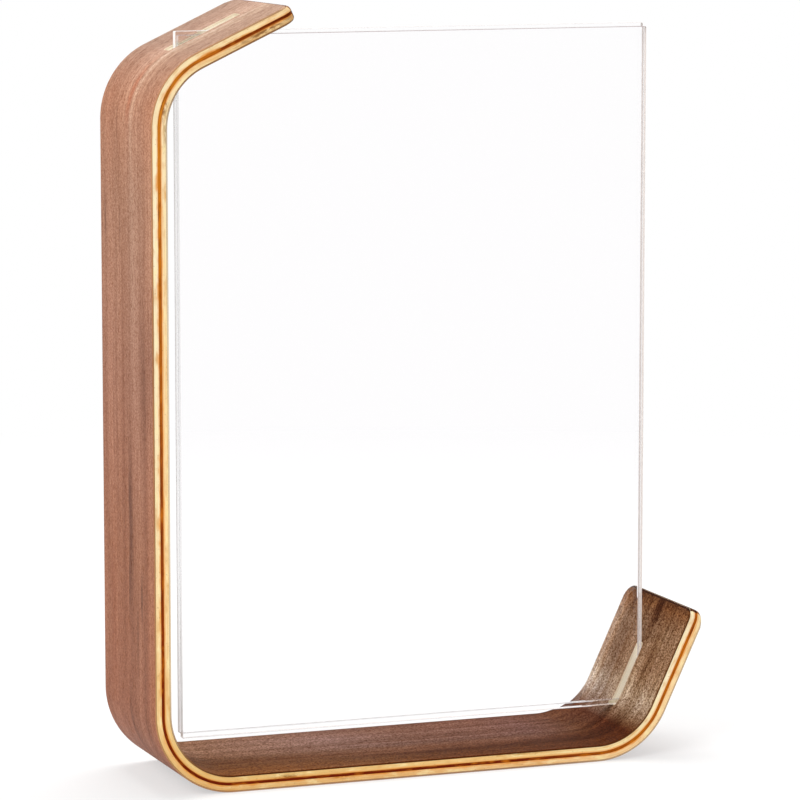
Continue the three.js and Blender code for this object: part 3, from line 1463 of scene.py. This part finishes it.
def veneer_finishes(course: BandCourse) -> dict[str, Material]:
    """Make the finishes of the outer and inner veneers.

    Args:
        course: The band's course.

    Returns:
        Materials by node name.
    """
    # The veneers' slot walls get the pale cream of painted light.
    shared = {"slot_wall_painted_light": SLOT_WALL_PAINTED_LIGHT, "length": course.length, "depth": course.depth}
    outer = WalnutFinish(
        name="outer_walnut",
        seed=4.0,
        # Along the band: the paler, greyer top arm (to 0.07) is a painted sheen, and the darkening down the
        # upright into the lower bend is partly painted shade over the wood's own drift.
        course=course_of(
            (0.00, 187, 152, 129), (0.07, 184, 147, 124), (0.115, 195, 140, 110),
            (0.18, 181, 133, 106), (0.30, 172, 120, 95), (0.36, 170, 115, 88), (0.42, 166, 109, 79),
            (0.53, 160, 102, 74), (0.62, 168, 112, 87), (1.00, 178, 128, 102),
        ),
        across=(
            (
                (0.00, (0.90, 0.88, 0.85)), (0.20, (0.90, 0.89, 0.87)), (0.33, (1.08, 1.14, 1.13)),
                (0.45, (1.20, 1.24, 1.29)), (0.55, (1.11, 1.13, 1.18)), (0.70, (0.95, 0.93, 0.93)),
                (0.82, (0.86, 0.83, 0.83)), (1.00, (0.94, 0.97, 0.99)),
            ),
            (
                (0.00, (1.06, 1.02, 0.96)), (0.07, (1.04, 1.00, 0.95)), (0.19, (0.94, 0.92, 0.91)),
                (0.31, (1.07, 1.13, 1.18)), (0.44, (0.96, 0.95, 0.95)), (0.56, (1.01, 0.98, 0.95)),
                (0.69, (1.00, 0.98, 0.96)), (0.82, (1.02, 0.99, 0.97)), (0.94, (1.00, 0.97, 0.95)),
                (1.00, (0.96, 0.93, 0.91)),
            ),
        ),
        turnover=(26.0, 50.0),
        wander=1.5,
        streaks=(
            Streak(20.0, -6.0, 38.0, 1.9, (1.32, 1.52, 1.68)),
            Streak(38.0, -4.6, 28.0, 2.1, (1.38, 1.68, 1.88)),
            Streak(41.0, 1.4, 18.0, 1.3, (1.30, 1.48, 1.60)),
            Streak(40.0, -1.4, 11.0, 2.4, (1.00, 0.70, 0.56)),
            Streak(84.0, -4.8, 54.0, 3.8, (1.26, 1.44, 1.58)),
            Streak(58.0, 6.0, 15.0, 4.5, (0.84, 0.80, 0.76)),
            Streak(104.0, -19.5, 26.0, 4.2, (0.72, 0.68, 0.68)),
            Streak(172.0, 18.4, 34.0, 3.4, (1.22, 1.34, 1.46)),
            Streak(150.0, -2.2, 30.0, 2.6, (0.40, 0.30, 0.24)),
            Streak(176.0, -7.4, 16.0, 1.6, (0.60, 0.50, 0.42)),
            Streak(141.0, -1.2, 8.0, 0.9, (0.50, 0.44, 0.40)),
            Streak(164.0, -0.6, 13.0, 1.1, (0.42, 0.36, 0.31)),
            Streak(166.0, -11.0, 10.0, 1.6, (0.40, 0.34, 0.28)),
            Streak(199.0, -1.0, 16.0, 1.7, (0.58, 0.52, 0.47)),
            Streak(113.0, -14.0, 28.0, 7.0, (0.72, 0.66, 0.61)),
            Streak(73.0, 17.4, 9.0, 1.0, (0.58, 0.52, 0.48)),
            Streak(48.0, 7.0, 11.0, 0.9, (0.66, 0.60, 0.54)),
            Streak(74.0, 5.4, 10.0, 0.9, (0.64, 0.58, 0.52)),
            Streak(120.0, 11.0, 34.0, 1.1, (0.74, 0.68, 0.64)),
            Streak(172.0, 13.0, 30.0, 2.6, (0.86, 0.76, 0.68)),
            Streak(188.0, -19.8, 34.0, 2.8, (1.22, 1.20, 1.10)),
        ),
        edge_course=course_of(
            (0.00, 192, 150, 112), (0.10, 204, 150, 108), (0.30, 180, 128, 84),
            (0.55, 190, 142, 96), (0.80, 190, 150, 116), (1.00, 226, 200, 160),
        ),
        band_tones=((0.77, 0.72, 0.67), (1.07, 1.10, 1.13)),
        fibre_tones=((0.66, 0.50, 0.38), (1.33, 1.51, 1.65)),
        fibre_shares=(0.6, 0.8),
        grain=(0.68, 0.55, 0.46),
        grain_share=0.7,
        pore=(0.50, 0.44, 0.40),
        pore_shares=(0.9, 0.45),
        end=linear(96, 50, 22),
        roughness=0.55,
        sheen=0.12,
        **shared,
    )
    inner = WalnutFinish(
        name="inner_walnut",
        seed=26.0,
        # Along the band: the dark stretch at the end of the foot (0.878 to 0.899) is painted shade in the
        # crook of the right bend, and the pale grey stretch on that bend (0.921 to 0.941) is a painted
        # sheen.
        course=course_of(
            (0.00, 138, 100, 78), (0.50, 136, 98, 77), (0.60, 163, 120, 92), (0.70, 155, 118, 104),
            (0.756, 137, 97, 79), (0.813, 134, 93, 77), (0.842, 127, 88, 76), (0.878, 116, 74, 49),
            (0.899, 104, 60, 38), (0.921, 184, 161, 142), (0.930, 186, 161, 137),
            (0.941, 168, 136, 109), (0.953, 160, 125, 98), (0.975, 162, 128, 101),
            (0.992, 132, 88, 56), (1.00, 100, 64, 40),
        ),
        # Across the band: on the upright and foot the dark front is partly the wood's own tone and partly
        # painted shade along the front edge, and the grey, bluish lift over the back half is a painted
        # reflection; the pale, bluish back of the right arm is a painted sheen.
        across=(
            (
                (0.00, (0.56, 0.37, 0.15)), (0.07, (0.57, 0.39, 0.17)), (0.19, (0.51, 0.38, 0.20)),
                (0.31, (0.63, 0.49, 0.33)), (0.44, (0.90, 0.82, 0.70)), (0.56, (1.05, 1.10, 1.20)),
                (0.69, (1.04, 1.09, 1.18)), (0.82, (0.92, 0.92, 0.97)), (0.94, (0.79, 0.73, 0.68)),
                (1.00, (0.70, 0.62, 0.58)),
            ),
            (
                (0.00, (0.95, 0.91, 0.83)), (0.18, (0.97, 0.95, 0.91)), (0.30, (1.02, 1.00, 0.95)),
                (0.50, (1.24, 1.27, 1.22)), (0.70, (0.86, 0.85, 0.86)), (0.84, (0.76, 0.77, 0.81)),
                (0.93, (1.16, 1.22, 1.28)), (1.00, (1.30, 1.42, 1.54)),
            ),
        ),
        turnover=(331.0, 344.0),
        wander=6.0,
        streaks=(
            Streak(364.0, -3.0, 16.0, 8.0, (0.28, 0.16, 0.09)),
            # The next streak is a painted highlight on the right bend, beside the front edge.
            Streak(340.0, -12.5, 11.0, 8.5, (1.34, 1.48, 1.62)),
            Streak(368.5, -3.0, 9.0, 3.6, (0.36, 0.22, 0.14)),
            # The next two streaks deepen the painted shade at the end of the foot.
            Streak(326.0, 10.0, 20.0, 8.0, (0.70, 0.60, 0.52)),
            Streak(334.0, -2.0, 13.0, 9.0, (0.82, 0.72, 0.62)),
            Streak(258.0, 10.0, 34.0, 7.0, (1.15, 1.22, 1.30)),
            Streak(310.0, -4.0, 22.0, 7.0, (1.22, 1.36, 1.52)),
            Streak(304.0, -7.0, 20.0, 2.4, (1.26, 1.42, 1.62)),
            Streak(321.0, -1.0, 12.0, 1.8, (1.42, 1.60, 1.80)),
            Streak(318.0, 7.0, 11.0, 2.0, (1.36, 1.52, 1.70)),
            Streak(240.0, -6.0, 26.0, 1.6, (0.66, 0.58, 0.50)),
            Streak(278.0, -12.5, 30.0, 2.6, (0.78, 0.68, 0.56)),
            Streak(300.0, -17.5, 34.0, 1.6, (0.74, 0.62, 0.50)),
            Streak(268.0, 4.6, 38.0, 1.3, (0.74, 0.68, 0.64)),
            Streak(302.0, 15.0, 30.0, 1.4, (0.74, 0.68, 0.64)),
            Streak(354.0, 15.4, 17.0, 2.2, (0.46, 0.40, 0.36)),
            Streak(355.0, 11.4, 16.0, 1.7, (0.52, 0.46, 0.41)),
            Streak(352.0, -9.5, 15.0, 1.4, (0.62, 0.55, 0.48)),
            Streak(358.0, -16.0, 14.0, 1.3, (0.60, 0.54, 0.46)),
            Streak(362.0, -12.6, 11.0, 1.1, (0.56, 0.50, 0.42)),
            Streak(350.0, -18.6, 12.0, 1.1, (0.62, 0.56, 0.48)),
        ),
        # The veneer's cut edge is dark walnut; the pale cream over the upright (0.15 to 0.50) is a painted
        # highlight.
        edge_course=course_of(
            (0.00, 150, 108, 70), (0.09, 176, 132, 92), (0.15, 248, 228, 198),
            (0.50, 244, 218, 180), (0.56, 150, 104, 66), (0.60, 84, 40, 12), (0.86, 88, 42, 14),
            (0.93, 112, 74, 42), (1.00, 96, 56, 28),
        ),
        band_tones=((0.72, 0.65, 0.57), (1.17, 1.21, 1.25)),
        fibre_tones=((0.30, 0.14, 0.02), (1.76, 1.98, 2.18)),
        fibre_shares=(0.84, 1.0),
        grain=(0.60, 0.48, 0.37),
        grain_share=0.9,
        pore=(0.46, 0.37, 0.29),
        pore_shares=(0.6, 0.7),
        end=linear(52, 24, 10),
        roughness=0.6,
        sheen=0.02,
        **shared,
    )
    return {"outer_walnut_veneer": outer.material(), "inner_walnut_veneer": inner.material()}


def ply_finishes(length: float) -> dict[str, Material]:
    """Make the finishes of the three plies between the veneers.

    Args:
        length: The blank's length in millimetres.

    Returns:
        Materials by node name.
    """
    pale = {
        # The pale cores' slot walls are painted lighter than their own cream: painted light.
        "slot_wall_painted_light": linear(255, 247, 226),
        "fleck": linear(220, 160, 88),
        "glint": linear(255, 236, 178),
        "speck": linear(150, 96, 44),
        "stain": linear(236, 148, 54),
        "length": length,
    }
    outer = PlyFinish(
        name="outer_pale_core",
        seed=1.0,
        course=course_of(
            (0.00, 248, 216, 164), (0.07, 250, 226, 176), (0.12, 254, 238, 198),
            (0.24, 254, 238, 200), (0.38, 252, 230, 182), (0.47, 250, 214, 156),
            (0.55, 236, 194, 128), (0.72, 238, 190, 126), (0.86, 248, 206, 150),
            (1.00, 252, 224, 172),
        ),
        end=linear(140, 84, 36),
        stain_depths=(1.3, 1.8),
        scuffs=(
            Streak(252.0, 1.5, 5.0, 0.7, (0.60, 0.46, 0.30)),
            Streak(20.0, 1.6, 14.0, 0.4, (0.70, 0.55, 0.36)),
        ),
        **pale,
    )
    inner = PlyFinish(
        name="inner_pale_core",
        seed=9.0,
        course=course_of(
            (0.00, 226, 180, 122), (0.07, 244, 212, 156), (0.12, 252, 232, 188),
            (0.30, 250, 218, 164), (0.47, 250, 216, 160), (0.56, 232, 194, 124),
            (0.80, 240, 200, 134), (0.89, 246, 222, 166), (0.94, 254, 240, 202),
            (1.00, 252, 238, 202),
        ),
        end=linear(84, 48, 24),
        stain_depths=(3.0, 2.5),
        scuffs=(
            Streak(9.0, 3.1, 15.0, 1.1, (0.34, 0.24, 0.16)),
            Streak(43.0, 2.8, 5.0, 1.1, (0.40, 0.28, 0.18)),
            Streak(49.0, 3.6, 7.0, 0.6, (0.58, 0.48, 0.38)),
            Streak(237.0, 2.9, 6.0, 0.9, (0.44, 0.32, 0.20)),
            Streak(300.0, 3.7, 16.0, 0.5, (0.66, 0.54, 0.38)),
        ),
        **pale,
    )
    centre = PlyFinish(
        name="dark_centre",
        seed=5.0,
        course=course_of(
            (0.00, 96, 30, 3), (0.06, 146, 64, 10), (0.11, 206, 126, 36), (0.17, 216, 130, 36),
            (0.24, 186, 104, 24), (0.38, 152, 72, 22), (0.48, 130, 42, 3), (0.58, 112, 30, 3),
            (0.82, 110, 32, 4), (0.90, 172, 88, 12), (1.00, 190, 100, 14),
        ),
        # Its slot walls too get the pale cream of painted light.
        slot_wall_painted_light=SLOT_WALL_PAINTED_LIGHT,
        fleck=linear(96, 30, 4),
        glint=linear(206, 116, 26),
        speck=linear(70, 20, 2),
        end=linear(40, 12, 2),
        stain=linear(176, 92, 30),
        stain_depths=(2.35, 2.5),
        length=length,
    )
    return {
        "outer_pale_core_ply": outer.material(),
        "dark_centre_ply": centre.material(),
        "inner_pale_core_ply": inner.material(),
    }


def sheet_finishes() -> dict[Facing, Material]:
    """Make the finishes of the clear sheets, whose sawn edges carry painted light and shade.

    Returns:
        Materials by the way a face looks.
    """
    upright_side = SawnEdgeFinish(
        name="upright_side_sawn_edge",
        front=EdgeLook(linear(255, 254, 254), (0.75, 0.30, 0.30)),
        rear=EdgeLook(linear(255, 254, 254), (0.75, 0.33, 0.95)),
        back_cover=0.9,
        # Painted shade where the upright shades the edge: a darker back line and a greyer edge below the
        # top arm.
        back_line_shade=(0.80, 0.77, 0.76),
        low_painted_shade=(0.74, 0.71, 0.70),
        glow=0.75,
    )
    # Each side and sheet gets its own tone of the same sawn acrylic as painted light and shade: the dark
    # front top edge and the dark rear foot edge are painted shade lines, and the open side's rear sheet is
    # painted a shade darker.
    open_side = SawnEdgeFinish(
        name="open_side_sawn_edge",
        front=EdgeLook(linear(232, 221, 214), (0.9, 0.9, 0.9)),
        rear=EdgeLook(linear(208, 197, 192), (0.9, 0.9, 0.9)),
    )
    top = SawnEdgeFinish(
        name="top_sawn_edge",
        front=EdgeLook(linear(150, 132, 132), (0.9, 0.9, 0.9)),
        rear=EdgeLook(linear(216, 211, 209), (0.95, 0.95, 0.95)),
    )
    foot = SawnEdgeFinish(
        name="foot_sawn_edge",
        front=EdgeLook(linear(246, 234, 228), (0.95, 0.95, 0.95)),
        rear=EdgeLook(linear(158, 146, 144), (0.9, 0.9, 0.9)),
    )
    return {
        Facing.THROUGH: ClearFinish("clear_acrylic", (0.996, 0.992, 0.996)).material(),
        Facing.UPRIGHT_SIDE: upright_side.material(),
        Facing.OPEN_SIDE: open_side.material(),
        Facing.UP: top.material(),
        Facing.DOWN: foot.material(),
    }


def main() -> None:
    """Build the band, the sheets and the studio."""
    logging.basicConfig(level=logging.INFO)
    bpy.context.scene.view_settings.view_transform = "Standard"
    course = BandCourse()
    band = BentBand(course)
    band.build()
    band.dress(veneer_finishes(course) | ply_finishes(course.length))
    sheets = ClearSheets()
    sheets.build()
    sheets.dress(sheet_finishes())
    Studio().build()


if __name__ == "__main__":
    main()
